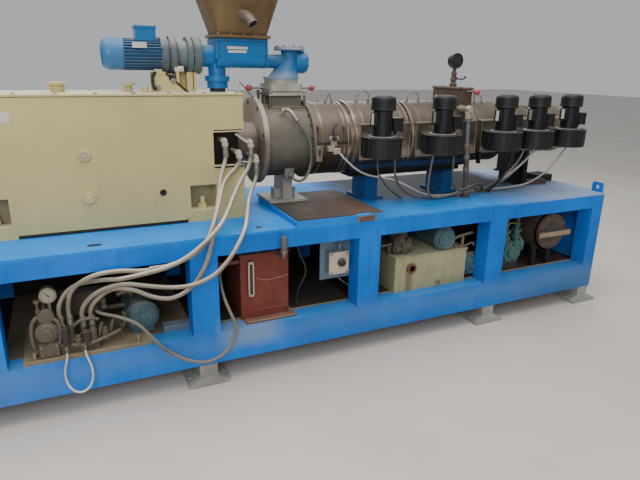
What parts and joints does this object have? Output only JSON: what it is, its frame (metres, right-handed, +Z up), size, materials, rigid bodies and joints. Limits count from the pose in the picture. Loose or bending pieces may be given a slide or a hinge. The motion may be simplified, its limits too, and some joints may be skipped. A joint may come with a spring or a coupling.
{
  "type": "plastic extruder",
  "caption": "Plastic extruder line on a welded blue bed: gearbox, motor, air-cooled barrel with blowers, feeder with hopper, pumps and tanks in the bays.",
  "frame": {"origin": "on the floor, under the middle of the bed", "axes": "+X along the machine towards the outlet, +Y to the rear, +Z up"},
  "size_m": [4.393, 1.0553, 2.16],
  "materials": {
    "bed_blue": "worn gloss paint",
    "rusty_plate": "rusted bare plate",
    "foot_steel": "dull",
    "floor_tan": "dusty",
    "case_beige": "satin paint",
    "plated_steel": "dull plated",
    "cast_grey": "cast",
    "drive_blue": "gloss paint",
    "guard_yellow": "satin paint",
    "bright_plate": "milled",
    "stainless": "heat-tinted brushed",
    "barrel_steel": "machined",
    "blower_black": "satin",
    "vent_brown": "heat-stained",
    "pump_teal": "grimy paint",
    "gauge_white": "dial",
    "tank_maroon": "chalky paint",
    "hose_grey": "dusty braid",
    "hose_white": "soft"
  },
  "bodies": {
    "root": {"bed_front_top_rail": "bed_blue", "bed_front_bottom_rail": "bed_blue", "bed_rear_top_rail": "bed_blue", "bed_rear_bottom_rail": "bed_blue", "bed_front_posts": "bed_blue", "bed_rear_posts": "bed_blue", "bed_cross_members": "bed_blue", "bed_deck": "bed_blue", "deck_pad": "bed_blue", "deck_plate": "rusty_plate", "levelling_feet": "foot_steel", "bay_floor_plates": "floor_tan", "lifting_lugs": "bed_blue", "gearbox_housing": "case_beige", "gearbox_fittings": "plated_steel", "gearbox_top_fittings": "case_beige", "output_flange": "cast_grey", "drive_motor": "drive_blue", "drive_motor_base": "bed_blue", "coupling_guard": "guard_yellow", "feed_throat": "cast_grey", "feed_port_plate": "bright_plate", "slide_gate": "cast_grey", "gate_handles": "plated_steel", "throat_support": "foot_steel", "feeder_motor": "drive_blue", "feeder_terminal_box": "drive_blue", "feeder_gearbox": "cast_grey", "feeder_body": "drive_blue", "feeder_chute": "drive_blue", "feeder_bracket": "case_beige", "hopper": "stainless", "barrel": "barrel_steel", "barrel_covers": "stainless", "barrel_rings": "stainless", "cooling_boxes": "stainless", "barrel_beam": "bed_blue", "barrel_stands": "cast_grey", "blower_scrolls": "blower_black", "blower_motors": "blower_black", "blower_terminal_boxes": "blower_black", "vent_stack": "vent_brown", "vent_pipe": "plated_steel", "pump_skid": "floor_tan", "pump_valve_unit": "plated_steel", "oil_pump_motor": "pump_teal", "pressure_gauge": "gauge_white", "oil_tank": "tank_maroon", "valve_block": "drive_blue", "water_tank": "case_beige", "water_pumps": "pump_teal", "vacuum_pump": "vent_brown", "circulation_pump": "pump_teal", "bay_back_panels": "bed_blue", "hose_1": "hose_grey", "hose_2": "hose_grey", "hose_3": "hose_grey", "hose_4": "hose_grey", "return_hose": "hose_grey", "drain_hose": "hose_white"}
  },
  "joints": []
}
